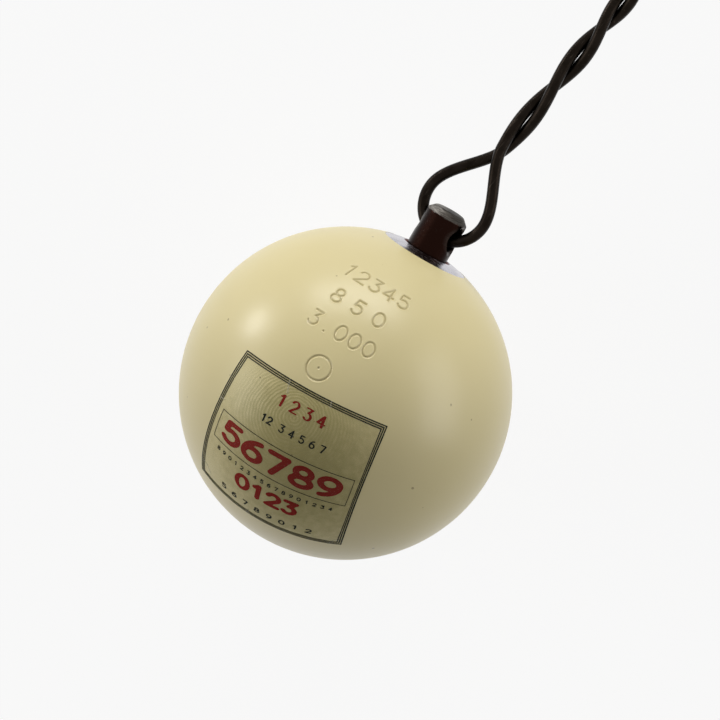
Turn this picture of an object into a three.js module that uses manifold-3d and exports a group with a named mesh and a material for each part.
// A throwing hammer of the 3 kg class, lying on a floor.
// Millimetres, +Z up. The origin is the small flat under the ball that it rests on,
// and the wire runs along +X from the ball to the grip.
// Places inside the head are given as heights above the ball's centre, along the
// spindle's axis, because everything in the head is turned about that axis.

import * as THREE from 'three';
import { mergeVertices } from 'three/addons/utils/BufferGeometryUtils.js';
import Module from 'manifold-3d';

const wasm = await Module();
wasm.setup();

// Head
const headDiameter = 85;
const shellWall = 9;
const restFlatDiameter = 6;

// Clearances
const seatGap = 0.3;
const raceGap = 0.1;
const pocketGap = 0.15;
const eyeClearance = 0.45;
const floorGap = 0.3;
const filmGap = 0.1;
const tailClearance = 1;
const cutOverrun = 5;

// Spindle, from its outer end to its inner end
const shankDiameter = 11.3;
const eyeStandoff = 5.5;
const eyeToEnd = 6.3;
const endBevelLength = 1.5;
const endBevelInset = 1.2;
const endCrown = 0.4;
const eyeMouthBevel = 0.9;
const journalDiameter = 8;
const shoulderGap = 0.6;
const tailBevel = 0.6;

// Cap, bush and seal. The cap's depth is from the top of the ball to its underside.
const capDiameter = 24;
const capDepth = 8.5;
const capLipThickness = 2.6;
const bushWall = 1.5;
const sealThickness = 1.2;
const bushLength = 3.4;

// Swivel housing
const housingDiameter = 24;
const housingBase = 2;

// Thrust bearing
const bearingDiameter = 19;
const bearingWasherThickness = 1.9;
const bearingBallDiameter = 3;
const bearingBallCount = 9;
const cageWidth = 4.4;
const cageThickness = 1.2;
const thrustWasherDiameter = 15;
const thrustWasherThickness = 1;

// Slotted nut and its cotter pin
const nutAcrossFlats = 13;
const nutHexHeight = 4.6;
const nutCrownHeight = 3.4;
const nutCrownDiameter = 12;
const nutSlotWidth = 2.2;
const nutSides = 6;
const nutSlots = 3;
const cotterDiameter = 1.6;
const cotterReach = 4.6;
const cotterEyeRadius = 1.05;
const cotterEyeWireDiameter = 0.9;
const cotterLegLength = 2.8;
const cotterLegDiameter = 0.8;
const cotterLegSplayDegrees = 20;

// Label
const labelWidth = 48.5;
const labelHeight = 46.8;
const labelThickness = 0.2;
const labelPolarDegrees = 117.9;
const labelAzimuthDegrees = 11.4;
const labelTurnDegrees = 3.1;

// Wire. The loop's centre lies the loop's slip beside the spindle's axis.
const wireDiameter = 3;
const strandGap = 0.45;
const loopRadius = 9;
const loopSlip = 0.8;
const loopToCrossing = 19.5;
const crossingSlopeShare = 0.2;
const firstLead = 23.95;
const leadDrop = 3.3;
const closeWrapPitch = 3.6;
const twistHalfTurns = 4;
const partingSlack = 0.2;
const wrapTurns = 3;
const tailToJoint = 3;
const wireRollDegrees = 18.8;
const spindleLeanDegrees = 9.7;

// Whole length, from the far side of the ball to the inside of the grip's bar
const overallLength = 1190;

// Grip
const gripReach = 105;
const gripBarDiameter = 12;
const gripBow = 8;
const gripCornerHalfWidth = 74;
const gripCornerShare = 0.28;
const gripArmShare = 0.8;
const gripApexShare = 0.07;
const gripArmWidth = 7.2;
const gripArmThickness = 8.4;
const gripSwellLength = 24;
const gripBossDiameter = 17;
const gripBossThickness = 10;
const gripBossBevel = 1;

// Facets
const headFacets = 48;
const headArcSteps = 24;
const cavityArcSteps = 11;
const turnedFacets = 32;
const capArcSteps = 3;
const ballFacets = 10;
const ballRings = 7;
const cotterEyeSides = 6;
const wireSides = 8;
const loopArcSteps = 12;
const legSteps = 5;
const stepsPerHalfTurn = 6;
const stepsPerWrap = 14;
const gapCheckDetail = 4;
const labelSteps = 14;
const gripSides = 12;
const gripSteps = 60;

// Worked out from the sizes above
const headRadius = headDiameter / 2;
const cavityRadius = headRadius - shellWall;
const shankRadius = shankDiameter / 2;
const journalRadius = journalDiameter / 2;
const capRadius = capDiameter / 2;
const boreRadius = Math.max(capRadius, housingDiameter / 2) + seatGap;
const bearingRadius = bearingDiameter / 2;
const bearingBallRadius = bearingBallDiameter / 2;
const wireRadius = wireDiameter / 2;
const strandRadius = (wireDiameter + strandGap) / 2;
const headCentreHeight = Math.sqrt(headRadius ** 2 - (restFlatDiameter / 2) ** 2);
const eyeHeight = headRadius + eyeStandoff;
const capUnderside = headRadius - capDepth;

const housingWasherTop = capUnderside - seatGap;
const ballTop = housingWasherTop - bearingWasherThickness - raceGap;
const ballCentre = ballTop - bearingBallRadius;
const shaftWasherTop = ballTop - bearingBallDiameter - raceGap;
const thrustWasherTop = shaftWasherTop - bearingWasherThickness - seatGap;
const nutTop = thrustWasherTop - thrustWasherThickness - seatGap;
const nutCrownTop = nutTop - nutHexHeight;
const nutBottom = nutCrownTop - nutCrownHeight;
const cotterHeight = nutCrownTop - nutCrownHeight / 2;
const spindleTail = nutBottom - tailBevel;
const housingFloor = spindleTail - tailClearance;
const housingBottom = housingFloor - housingBase;
const corePocketFloor = housingBottom - seatGap;
const pocketRadius = bearingRadius + seatGap;
const washerBore = journalRadius + seatGap;

// How far the loop's arc bows inside a hole of this half length: half of the bow
// lies on each side of the hole's axis, so the loop turns freely in it.
function archHalf(halfLength) {
  return (loopRadius - Math.sqrt(loopRadius ** 2 - halfLength ** 2)) / 2;
}

const headArch = archHalf(shankRadius + loopSlip);
const gripArch = archHalf(gripBossThickness / 2);
const headEyeRadius = wireRadius + headArch + eyeClearance;
const gripEyeRadius = wireRadius + gripArch + eyeClearance;
const headEyeToLoop = loopRadius - headArch;
const gripEyeToLoop = loopRadius - gripArch;

// Directions. The wire slopes down a little from the ball to the grip, its loop is
// rolled about its own length, and the spindle leans within the loop's plane.
const roll = THREE.MathUtils.degToRad(wireRollDegrees);
const lean = THREE.MathUtils.degToRad(spindleLeanDegrees);
const loopSpan = overallLength - headRadius - eyeHeight - headEyeToLoop - gripEyeToLoop - gripReach;
const gripLoopHeight = loopRadius + wireRadius + floorGap;
const spindleToLoop = eyeHeight + headEyeToLoop;
const dropAlong = loopSpan + spindleToLoop * Math.cos(lean) + loopSlip * Math.sin(lean);
const dropAcross = (spindleToLoop * Math.sin(lean) - loopSlip * Math.cos(lean)) * Math.sin(roll);
const dropTotal = headCentreHeight - gripLoopHeight;
const slope = Math.asin(dropTotal / Math.hypot(dropAlong, dropAcross)) - Math.atan2(dropAcross, dropAlong);

const wireAxis = new THREE.Vector3(Math.cos(slope), 0, -Math.sin(slope));
const upAcross = new THREE.Vector3(Math.sin(slope), 0, Math.cos(slope));
const sideAcross = new THREE.Vector3(0, -1, 0);
const loopSide = sideAcross.clone().multiplyScalar(Math.cos(roll)).addScaledVector(upAcross, Math.sin(roll));
const spindleAxis = wireAxis.clone().applyAxisAngle(wireAxis.clone().cross(loopSide), -lean);
const eyeAxis = loopSide.clone().applyAxisAngle(wireAxis.clone().cross(loopSide), -lean);

const headCentre = new THREE.Vector3(0, 0, headCentreHeight);
const headEye = headCentre.clone().addScaledVector(spindleAxis, eyeHeight);
const headLoopCentre = headCentre.clone().addScaledVector(spindleAxis, spindleToLoop);
headLoopCentre.addScaledVector(eyeAxis, loopSlip);
const gripLoopCentre = headLoopCentre.clone().addScaledVector(wireAxis, loopSpan);

const gripBarReach = gripReach + gripBarDiameter / 2;
const gripDip = Math.asin((gripLoopHeight - gripBarDiameter / 2) / (gripEyeToLoop + gripBarReach));
const gripAxis = new THREE.Vector3(Math.cos(gripDip), 0, -Math.sin(gripDip));
const gripNormal = new THREE.Vector3(Math.sin(gripDip), 0, Math.cos(gripDip));
const gripEye = gripLoopCentre.clone().addScaledVector(gripAxis, gripEyeToLoop);

// Helpers

function material(colour, roughness, metalness) {
  return new THREE.MeshStandardMaterial({ color: colour, roughness, metalness });
}

// Merges a geometry's shared points, drops triangles of no area and turns the
// faces outwards.
function closedGeometry(source) {
  const bare = source.clone();
  bare.deleteAttribute('normal');
  bare.deleteAttribute('uv');
  const merged = mergeVertices(bare);
  const place = merged.getAttribute('position');
  const index = merged.getIndex().array;
  const kept = [];
  const a = new THREE.Vector3();
  const b = new THREE.Vector3();
  const c = new THREE.Vector3();
  let volume = 0;
  for (let i = 0; i < index.length; i += 3) {
    const corners = [index[i], index[i + 1], index[i + 2]];
    if (new Set(corners).size < 3) continue;
    a.fromBufferAttribute(place, corners[0]);
    b.fromBufferAttribute(place, corners[1]);
    c.fromBufferAttribute(place, corners[2]);
    volume += a.dot(b.clone().cross(c));
    kept.push(corners);
  }
  const outward = volume > 0 ? kept : kept.map(([p, q, r]) => [p, r, q]);
  merged.setIndex(outward.flat());
  return merged;
}

function solid(geometry) {
  const closed = closedGeometry(geometry);
  return new wasm.Manifold(new wasm.Mesh({
    numProp: 3,
    vertProperties: new Float32Array(closed.getAttribute('position').array),
    triVerts: new Uint32Array(closed.getIndex().array),
  }));
}

function geometryOf(manifold) {
  const mesh = manifold.getMesh();
  const geometry = new THREE.BufferGeometry();
  geometry.setAttribute('position', new THREE.BufferAttribute(new Float32Array(mesh.vertProperties), 3));
  geometry.setIndex(new THREE.BufferAttribute(new Uint32Array(mesh.triVerts), 1));
  return geometry;
}

function piece(name, geometry, finish) {
  const closed = closedGeometry(geometry);
  closed.computeVertexNormals();
  const mesh = new THREE.Mesh(closed, finish);
  mesh.name = name;
  return mesh;
}

// Turns a profile of [radius, height] points about the Y axis.
function turned(profile, facets = turnedFacets) {
  return new THREE.LatheGeometry(profile.map(([r, s]) => new THREE.Vector2(r, s)), facets);
}

// A plain ring of rectangular section between two heights, as a closed profile.
function ring(innerRadius, outerRadius, low, high) {
  return turned([
    [innerRadius, low],
    [outerRadius, low],
    [outerRadius, high],
    [innerRadius, high],
    [innerRadius, low],
  ]);
}

// Points on a sphere's profile from one polar angle to another, both measured from +Y.
function sphereArc(radius, fromAngle, toAngle, steps) {
  const points = [];
  for (let i = 0; i <= steps; i += 1) {
    const angle = fromAngle + (toAngle - fromAngle) * (i / steps);
    points.push([Math.max(radius * Math.sin(angle), 0), radius * Math.cos(angle)]);
  }
  points[0][0] = fromAngle === Math.PI ? 0 : points[0][0];
  points[steps][0] = toAngle === Math.PI ? 0 : points[steps][0];
  return points;
}

// A hole's cutter along Z, opened out at both mouths by a 45 degree bevel.
function eyeCutter(radius, halfLength, bevel) {
  const wide = radius + bevel + cutOverrun;
  const long = halfLength + cutOverrun;
  const profile = [
    [0, -long],
    [wide, -long],
    [radius, -(halfLength - bevel)],
    [radius, halfLength - bevel],
    [wide, long],
    [0, long],
  ];
  return turned(profile).rotateX(Math.PI / 2);
}

function rod(radius, length, sides = turnedFacets) {
  return new THREE.CylinderGeometry(radius, radius, length, sides);
}

// Materials

const enamel = material(0xdcd0a4, 0.35, 0);
const bareSteel = material(0xbfbfc6, 0.35, 1);
const darkSteel = material(0x231916, 0.35, 0.6);
const wireSteel = material(0x1d1a17, 0.4, 0.6);
const bearingSteel = material(0xb4b8bc, 0.2, 1);
const bronze = material(0xa8803c, 0.4, 1);
const rubber = material(0x1b1b1b, 0.8, 0);
const lead = material(0x6f7278, 0.7, 0.6);
const castAluminium = material(0xa9acae, 0.45, 0.9);
const film = material(0xb9ad86, 0.3, 0);

// Head shell and lead core

function polar(radius, height) {
  return Math.atan2(radius, height);
}

function heightOnSphere(sphereRadius, radius) {
  return Math.sqrt(sphereRadius ** 2 - radius ** 2);
}

function makeHeadShell(floorMatrix) {
  const mouth = polar(boreRadius, heightOnSphere(headRadius, boreRadius));
  const throat = polar(boreRadius, heightOnSphere(cavityRadius, boreRadius));
  const outside = sphereArc(headRadius, Math.PI, mouth, headArcSteps);
  const inside = sphereArc(cavityRadius, throat, Math.PI, cavityArcSteps);
  const shell = solid(turned([...outside, ...inside], headFacets));
  const floorCutter = new THREE.BoxGeometry(headDiameter, headDiameter, cutOverrun);
  floorCutter.translate(0, 0, -cutOverrun / 2);
  floorCutter.applyMatrix4(floorMatrix);
  return piece('head_shell', geometryOf(shell.subtract(solid(floorCutter))), enamel);
}

function makeLeadCore() {
  const coreRadius = cavityRadius - seatGap;
  const throat = polar(boreRadius, heightOnSphere(coreRadius, boreRadius));
  const outside = sphereArc(coreRadius, Math.PI, throat, cavityArcSteps);
  const pocket = [[boreRadius, corePocketFloor], [0, corePocketFloor]];
  return piece('lead_core', turned([...outside, ...pocket], headFacets), lead);
}

// Cap, bush, seal and housing

function makeCap() {
  const hole = shankRadius + seatGap;
  const counterbore = hole + bushWall + seatGap;
  const lipBottom = heightOnSphere(headRadius, hole) - capLipThickness;
  const face = sphereArc(
    headRadius,
    polar(hole, heightOnSphere(headRadius, hole)),
    polar(capRadius, heightOnSphere(headRadius, capRadius)),
    capArcSteps,
  );
  const profile = [
    ...face,
    [capRadius, capUnderside],
    [counterbore, capUnderside],
    [counterbore, lipBottom],
    [hole, lipBottom],
    face[0],
  ];
  return piece('swivel_cap', turned(profile), bareSteel);
}

function makeSealAndBush() {
  const hole = shankRadius + seatGap;
  const outer = hole + bushWall;
  const sealTop = heightOnSphere(headRadius, hole) - capLipThickness - seatGap;
  const sealBottom = sealTop - sealThickness;
  const bushBottom = capUnderside + seatGap;
  return [
    piece('dust_seal', ring(hole, outer, sealBottom, sealTop), rubber),
    piece('cap_bush', ring(hole, outer, bushBottom, bushBottom + bushLength), bronze),
  ];
}

function makeHousing() {
  const outer = housingDiameter / 2;
  const profile = [
    [0, housingBottom],
    [outer, housingBottom],
    [outer, housingWasherTop],
    [pocketRadius, housingWasherTop],
    [pocketRadius, housingFloor],
    [0, housingFloor],
  ];
  return piece('swivel_housing', turned(profile), bearingSteel);
}

// Spindle, with its cross hole for the wire and its small hole for the cotter pin

function makeSpindle() {
  const shankEnd = eyeHeight + eyeToEnd;
  const shoulder = housingWasherTop + seatGap + shoulderGap;
  const faceRadius = shankRadius - endBevelInset;
  const faceHeight = shankEnd - endCrown;
  const profile = [
    [0, spindleTail],
    [journalRadius - tailBevel, spindleTail],
    [journalRadius, spindleTail + tailBevel],
    [journalRadius, shoulder],
    [shankRadius, shoulder],
    [shankRadius, faceHeight - endBevelLength],
    [faceRadius, faceHeight],
    [faceRadius / 2, shankEnd - endCrown / 4],
    [0, shankEnd],
  ];
  const body = solid(turned(profile));
  const eye = solid(eyeCutter(headEyeRadius, shankRadius, eyeMouthBevel).translate(0, eyeHeight, 0));
  const cotterHole = rod(cotterDiameter / 2 + seatGap, journalDiameter + cutOverrun);
  cotterHole.rotateZ(Math.PI / 2).translate(0, cotterHeight, 0);
  return piece('spindle', geometryOf(body.subtract(eye).subtract(solid(cotterHole))), darkSteel);
}

// Thrust bearing

function makeBearing() {
  const pitchRadius = (washerBore + bearingRadius) / 2;
  const cageInner = pitchRadius - cageWidth / 2;
  const cageOuter = pitchRadius + cageWidth / 2;
  const pieces = [
    piece(
      'bearing_housing_washer',
      ring(washerBore, bearingRadius, housingWasherTop - bearingWasherThickness, housingWasherTop),
      bearingSteel,
    ),
    piece(
      'bearing_shaft_washer',
      ring(washerBore, bearingRadius, shaftWasherTop - bearingWasherThickness, shaftWasherTop),
      bearingSteel,
    ),
  ];
  const cageLow = ballCentre - cageThickness / 2;
  let cage = solid(ring(cageInner, cageOuter, cageLow, cageLow + cageThickness));
  for (let i = 0; i < bearingBallCount; i += 1) {
    const angle = (2 * Math.PI * i) / bearingBallCount;
    const x = pitchRadius * Math.cos(angle);
    const z = pitchRadius * Math.sin(angle);
    const ball = new THREE.SphereGeometry(bearingBallRadius, ballFacets, ballRings);
    pieces.push(piece(`bearing_ball_${i + 1}`, ball.translate(x, ballCentre, z), bearingSteel));
    const window = rod(bearingBallRadius + pocketGap, cageThickness + cutOverrun, ballFacets);
    cage = cage.subtract(solid(window.translate(x, ballCentre, z)));
  }
  pieces.push(piece('bearing_cage', geometryOf(cage), bronze));
  return pieces;
}

// Thrust washer, slotted nut and cotter pin

function makeFastening() {
  const washerLow = thrustWasherTop - thrustWasherThickness;
  const washer = ring(washerBore, thrustWasherDiameter / 2, washerLow, thrustWasherTop);
  const cornerRadius = nutAcrossFlats / 2 / Math.cos(Math.PI / nutSides);
  const hex = new THREE.CylinderGeometry(cornerRadius, cornerRadius, nutHexHeight, nutSides);
  hex.translate(0, nutCrownTop + nutHexHeight / 2, 0);
  const crown = rod(nutCrownDiameter / 2, nutCrownHeight + seatGap);
  crown.translate(0, nutCrownTop - (nutCrownHeight - seatGap) / 2, 0);
  const bore = rod(washerBore, nutHexHeight + nutCrownHeight + cutOverrun);
  bore.translate(0, nutCrownTop, 0);
  let nut = solid(hex).add(solid(crown)).subtract(solid(bore));
  const slotDepth = nutCrownHeight + cutOverrun;
  for (let i = 0; i < nutSlots; i += 1) {
    const slot = new THREE.BoxGeometry(nutAcrossFlats + cutOverrun, slotDepth, nutSlotWidth);
    slot.translate(0, nutCrownTop - slotDepth / 2, 0);
    slot.rotateY((i * Math.PI) / nutSlots);
    nut = nut.subtract(solid(slot));
  }
  return [
    piece('thrust_washer', washer, bearingSteel),
    piece('spindle_nut', geometryOf(nut), bearingSteel),
    makeCotterPin(),
  ];
}

function makeCotterPin() {
  const eyeTube = cotterEyeWireDiameter / 2;
  const eyeCentre = -cotterReach - cotterEyeRadius;
  const shank = rod(cotterDiameter / 2, 2 * cotterReach, ballFacets).rotateZ(Math.PI / 2);
  const eye = new THREE.TorusGeometry(cotterEyeRadius, eyeTube, cotterEyeSides, ballFacets);
  eye.translate(eyeCentre, 0, 0);
  let pin = solid(shank).add(solid(eye));
  for (const side of [-1, 1]) {
    const leg = rod(cotterLegDiameter / 2, cotterLegLength, ballFacets);
    leg.translate(0, cotterLegLength / 2 - cotterLegDiameter, 0);
    leg.rotateZ(-Math.PI / 2 + side * THREE.MathUtils.degToRad(cotterLegSplayDegrees));
    pin = pin.add(solid(leg.translate(cotterReach, 0, 0)));
  }
  return piece('cotter_pin', geometryOf(pin).translate(0, cotterHeight, 0), bearingSteel);
}

// Label: a thin patch just clear of the ball, its edges along great circles

function makeLabel() {
  const up = THREE.MathUtils.degToRad(labelPolarDegrees);
  const round = THREE.MathUtils.degToRad(labelAzimuthDegrees);
  const turn = THREE.MathUtils.degToRad(labelTurnDegrees);
  const outward = new THREE.Vector3(-Math.cos(round), 0, Math.sin(round));
  const across = new THREE.Vector3(Math.sin(round), 0, Math.cos(round));
  const pole = new THREE.Vector3(0, 1, 0);
  const centre = pole.clone().multiplyScalar(Math.cos(up)).addScaledVector(outward, Math.sin(up));
  const towardsPole = pole.clone().multiplyScalar(Math.sin(up)).addScaledVector(outward, -Math.cos(up));
  across.applyAxisAngle(centre, turn);
  towardsPole.applyAxisAngle(centre, turn);
  const side = labelSteps + 1;
  const layers = [headRadius + filmGap, headRadius + filmGap + labelThickness];
  const points = [];
  for (const radius of layers) {
    for (let j = 0; j < side; j += 1) {
      for (let i = 0; i < side; i += 1) {
        const a = (labelWidth / headRadius) * (i / labelSteps - 1 / 2);
        const b = (labelHeight / headRadius) * (j / labelSteps - 1 / 2);
        const point = centre.clone().addScaledVector(across, Math.tan(a));
        point.addScaledVector(towardsPole, Math.tan(b)).normalize().multiplyScalar(radius);
        points.push(...point.toArray());
      }
    }
  }
  const faces = [];
  const at = (layer, i, j) => layer * side * side + j * side + i;
  const quad = (p, q, r, s) => faces.push(p, q, r, p, r, s);
  for (let i = 0; i < labelSteps; i += 1) {
    for (let j = 0; j < labelSteps; j += 1) {
      quad(at(1, i, j), at(1, i + 1, j), at(1, i + 1, j + 1), at(1, i, j + 1));
      quad(at(0, i, j), at(0, i, j + 1), at(0, i + 1, j + 1), at(0, i + 1, j));
    }
    quad(at(0, i, 0), at(0, i + 1, 0), at(1, i + 1, 0), at(1, i, 0));
    quad(at(1, i, labelSteps), at(1, i + 1, labelSteps), at(0, i + 1, labelSteps), at(0, i, labelSteps));
    quad(at(1, 0, i), at(1, 0, i + 1), at(0, 0, i + 1), at(0, 0, i));
    quad(at(0, labelSteps, i), at(0, labelSteps, i + 1), at(1, labelSteps, i + 1), at(1, labelSteps, i));
  }
  const geometry = new THREE.BufferGeometry();
  geometry.setAttribute('position', new THREE.BufferAttribute(new Float32Array(points), 3));
  geometry.setIndex(faces);
  return piece('label', geometry, film);
}

// Wire. It is one unbroken wire, cut here into three bodies that meet with a small
// gap, so that each can be hulled closely: its two wound ends and its straight length.
// Each end is worked out in a frame of its own: the origin is the loop's centre, x
// runs along the wire towards its middle and the loop lies in x and y. "turns" counts
// half turns of the twist from the first crossing.

const tightestTurn = (firstLead - closeWrapPitch / 2) / leadDrop;
const lastTurn = tightestTurn + 2 * wrapTurns;

function twistAdvance(turns) {
  const fast = Math.min(turns, tightestTurn);
  return firstLead * fast - (leadDrop * fast ** 2) / 2 + (closeWrapPitch / 2) * (turns - fast);
}

function smooth(value) {
  const t = Math.min(Math.max(value, 0), 1);
  return t * t * (3 - 2 * t);
}

// How far the strands have parted, from 0 while both wind side by side to 1 where
// the tail alone winds round the straight strand.
function spread(turns) {
  return smooth((turns - twistHalfTurns) / (tightestTurn - twistHalfTurns));
}

// One strand's point in the twist: the main strand closes in to the wire's axis
// while the tail moves out to lie round it, a little slack half way.
function twistPoint(turns, isTail) {
  const angle = Math.PI * turns;
  const parted = spread(turns);
  const slack = partingSlack * 4 * parted * (1 - parted);
  const reach = isTail ? -strandRadius * (1 + parted) - slack : strandRadius * (1 - parted);
  const x = loopToCrossing + twistAdvance(turns);
  return new THREE.Vector3(x, reach * Math.sin(angle), reach * Math.cos(angle));
}

// A leg from the loop's widest place to the crossing. "side" is -1 for the main
// strand and +1 for the tail, which pass in front of and behind each other.
function legPoint(t, side) {
  const fall = 2 * t ** 3 - 3 * t ** 2 + 1;
  const pull = t ** 3 - t ** 2;
  const y = side * (loopRadius * fall - crossingSlopeShare * loopToCrossing * pull);
  return new THREE.Vector3(loopToCrossing * t, y, -side * strandRadius * smooth(t));
}

// One wound end, from the cut tail to where the straight length starts. "detail"
// multiplies the number of steps.
function endPath(detail) {
  const wrapSteps = wrapTurns * stepsPerWrap * detail;
  const twistSteps = Math.round(stepsPerHalfTurn * tightestTurn) * detail;
  const arcSteps = loopArcSteps * detail;
  const legCount = legSteps * detail;
  const points = [];
  for (let i = 0; i < wrapSteps; i += 1) {
    points.push(twistPoint(lastTurn - (2 * wrapTurns * i) / wrapSteps, true));
  }
  for (let i = twistSteps; i > 0; i -= 1) points.push(twistPoint((tightestTurn * i) / twistSteps, true));
  for (let i = legCount; i > 0; i -= 1) points.push(legPoint(i / legCount, 1));
  for (let i = 0; i <= arcSteps; i += 1) {
    const angle = (Math.PI * i) / arcSteps;
    points.push(new THREE.Vector3(-loopRadius * Math.sin(angle), loopRadius * Math.cos(angle), 0));
  }
  for (let i = 1; i <= legCount; i += 1) points.push(legPoint(i / legCount, -1));
  for (let i = 1; i <= twistSteps; i += 1) points.push(twistPoint((tightestTurn * i) / twistSteps, false));
  points.push(new THREE.Vector3(loopToCrossing + twistAdvance(lastTurn) + tailToJoint, 0, 0));
  return points;
}

function frameOf(origin, x, y) {
  const z = x.clone().cross(y);
  return new THREE.Matrix4().makeBasis(x, y, z).setPosition(origin);
}

function wireEnds(detail) {
  const headFrame = frameOf(headLoopCentre, wireAxis, loopSide.clone().negate());
  const farFrame = frameOf(gripLoopCentre, wireAxis.clone().negate(), upAcross);
  return [headFrame, farFrame].map((frame) => endPath(detail).map((point) => point.applyMatrix4(frame)));
}

// Sweeps a round section along points, carrying it without twist, and closes both ends.
function sweptTube(path, radius, sides) {
  const points = [];
  const faces = [];
  const count = path.length;
  const tangent = (i) => path[Math.min(i + 1, count - 1)].clone().sub(path[Math.max(i - 1, 0)]).normalize();
  const across = new THREE.Vector3(0, 0, 1).cross(tangent(0)).normalize();
  for (let i = 0; i < count; i += 1) {
    const along = tangent(i);
    across.addScaledVector(along, -across.dot(along)).normalize();
    const other = along.clone().cross(across);
    for (let k = 0; k < sides; k += 1) {
      const angle = (2 * Math.PI * k) / sides;
      const point = path[i].clone().addScaledVector(across, radius * Math.cos(angle));
      points.push(...point.addScaledVector(other, radius * Math.sin(angle)).toArray());
    }
  }
  for (let i = 0; i + 1 < count; i += 1) {
    for (let k = 0; k < sides; k += 1) {
      const here = i * sides + k;
      const beside = i * sides + ((k + 1) % sides);
      faces.push(here, beside, beside + sides, here, beside + sides, here + sides);
    }
  }
  const last = (count - 1) * sides;
  for (let k = 1; k + 1 < sides; k += 1) faces.push(0, k + 1, k, last, last + k, last + k + 1);
  const geometry = new THREE.BufferGeometry();
  geometry.setAttribute('position', new THREE.BufferAttribute(new Float32Array(points), 3));
  geometry.setIndex(faces);
  return geometry;
}

// The smallest space between each point of the tube and every stretch of it that
// isn't next to that point.
function leastGap(path, diameter) {
  const travelled = [0];
  for (let i = 1; i < path.length; i += 1) travelled.push(travelled[i - 1] + path[i].distanceTo(path[i - 1]));
  const near = new THREE.Vector3();
  let least = Infinity;
  for (let i = 0; i < path.length; i += 1) {
    for (let j = 0; j + 1 < path.length; j += 1) {
      const apart = Math.max(travelled[i] - travelled[j + 1], travelled[j] - travelled[i]);
      if (apart < Math.PI * diameter) continue;
      new THREE.Line3(path[j], path[j + 1]).closestPointToPoint(path[i], true, near);
      least = Math.min(least, path[i].distanceTo(near));
    }
  }
  return least - diameter;
}

function makeWire() {
  const [headFine, gripFine] = wireEnds(gapCheckDetail);
  const gap = leastGap([...headFine, ...gripFine.reverse()], wireDiameter);
  console.log(`wire: least gap to itself ${gap.toFixed(3)} mm`);
  const [headEnd, gripEnd] = wireEnds(1);
  const straight = [
    headEnd[headEnd.length - 1].clone().addScaledVector(wireAxis, seatGap),
    gripEnd[gripEnd.length - 1].clone().addScaledVector(wireAxis, -seatGap),
  ];
  return [
    piece('wire_head_end', sweptTube(headEnd, wireRadius, wireSides), wireSteel),
    piece('wire_length', sweptTube(straight, wireRadius, wireSides), wireSteel),
    piece('wire_grip_end', sweptTube(gripEnd, wireRadius, wireSides), wireSteel),
  ];
}

// Grip: a closed rounded triangle in x and y, its boss at the origin and its bar
// at the far end in x, swept with a section that swells from the arms to the bar.

function gripOutline() {
  const middle = gripBarReach;
  const barEnd = middle - gripBow;
  const bulge = middle + gripBow;
  const cornerX = (barEnd - gripCornerShare * bulge) / (1 - gripCornerShare);
  const corner = new THREE.Vector2(cornerX, gripCornerHalfWidth);
  const armEnd = corner.clone().multiplyScalar(gripArmShare);
  const armStart = corner.clone().multiplyScalar(gripApexShare);
  const barSide = new THREE.Vector2(barEnd, gripCornerHalfWidth * (1 - gripCornerShare));
  const path = new THREE.Path();
  path.moveTo(armStart.x, armStart.y);
  path.lineTo(armEnd.x, armEnd.y);
  path.quadraticCurveTo(corner.x, corner.y, barSide.x, barSide.y);
  path.quadraticCurveTo(bulge, 0, barSide.x, -barSide.y);
  path.quadraticCurveTo(corner.x, -corner.y, armEnd.x, -armEnd.y);
  path.lineTo(armStart.x, -armStart.y);
  path.quadraticCurveTo(0, 0, armStart.x, armStart.y);
  return { points: path.getSpacedPoints(gripSteps).slice(0, gripSteps), barEnd };
}

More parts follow.
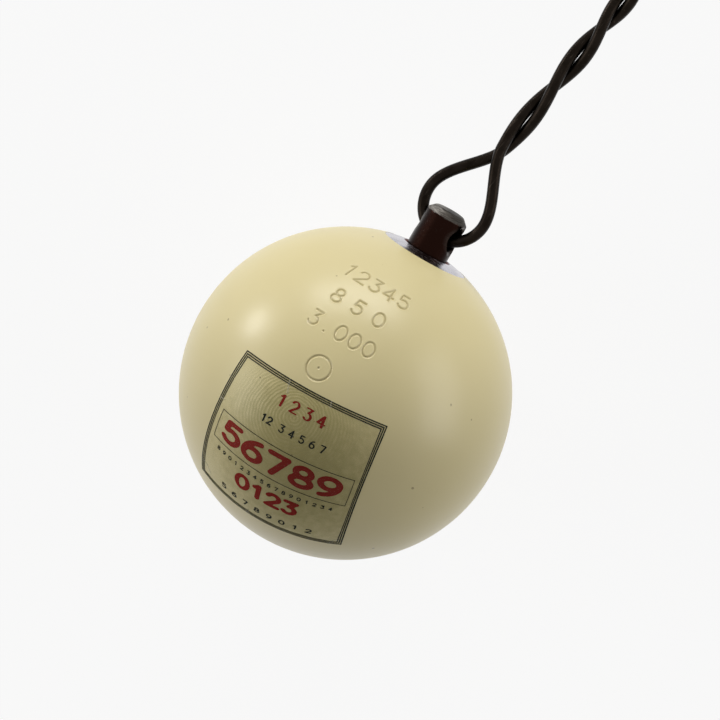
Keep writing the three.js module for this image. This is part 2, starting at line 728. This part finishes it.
function gripFrame() {
  const { points, barEnd } = gripOutline();
  const places = [];
  const faces = [];
  const count = points.length;
  for (let i = 0; i < count; i += 1) {
    const before = points[(i + count - 1) % count];
    const after = points[(i + 1) % count];
    const along = after.clone().sub(before).normalize();
    const bar = smooth((points[i].x - (barEnd - gripSwellLength)) / gripSwellLength);
    const halfWidth = (gripArmWidth + (gripBarDiameter - gripArmWidth) * bar) / 2;
    const halfThickness = (gripArmThickness + (gripBarDiameter - gripArmThickness) * bar) / 2;
    for (let k = 0; k < gripSides; k += 1) {
      const angle = (2 * Math.PI * k) / gripSides;
      const out = halfWidth * Math.cos(angle);
      places.push(points[i].x + along.y * out, points[i].y - along.x * out, halfThickness * Math.sin(angle));
      const here = i * gripSides + k;
      const beside = i * gripSides + ((k + 1) % gripSides);
      const next = ((i + 1) % count) * gripSides;
      faces.push(here, beside, next + (beside % gripSides));
      faces.push(here, next + (beside % gripSides), next + (here % gripSides));
    }
  }
  const geometry = new THREE.BufferGeometry();
  geometry.setAttribute('position', new THREE.BufferAttribute(new Float32Array(places), 3));
  geometry.setIndex(faces);
  return geometry;
}

function makeGrip() {
  const bossRadius = gripBossDiameter / 2;
  const bossHalf = gripBossThickness / 2;
  const boss = turned([
    [0, -bossHalf],
    [bossRadius - gripBossBevel, -bossHalf],
    [bossRadius, gripBossBevel - bossHalf],
    [bossRadius, bossHalf - gripBossBevel],
    [bossRadius - gripBossBevel, bossHalf],
    [0, bossHalf],
  ]).rotateX(Math.PI / 2);
  const eye = eyeCutter(gripEyeRadius, bossHalf, eyeMouthBevel);
  const grip = solid(gripFrame()).add(solid(boss)).subtract(solid(eye));
  return piece('grip', geometryOf(grip), castAluminium);
}

// Assembly

const hammer = new THREE.Group();

const headGroup = new THREE.Group();
headGroup.applyMatrix4(frameOf(headCentre, spindleAxis.clone().cross(eyeAxis), spindleAxis));
headGroup.updateMatrixWorld(true);
const toHead = headGroup.matrixWorld.clone().invert();
headGroup.add(makeHeadShell(toHead), makeLeadCore(), makeHousing(), makeCap(), ...makeSealAndBush());
headGroup.add(makeSpindle(), ...makeBearing(), ...makeFastening(), makeLabel());
hammer.add(headGroup);

hammer.add(...makeWire());

const gripGroup = new THREE.Group();
gripGroup.applyMatrix4(frameOf(gripEye, gripAxis, gripNormal.clone().cross(gripAxis)));
gripGroup.add(makeGrip());
hammer.add(gripGroup);

const places = { headEye, spindleAxis, eyeAxis, headLoopCentre, wireAxis, gripEye, gripNormal, gripAxis };
for (const [name, value] of Object.entries(places)) {
  console.log(`${name} ${value.toArray().map((number) => number.toFixed(5)).join(' ')}`);
}

export default hammer;
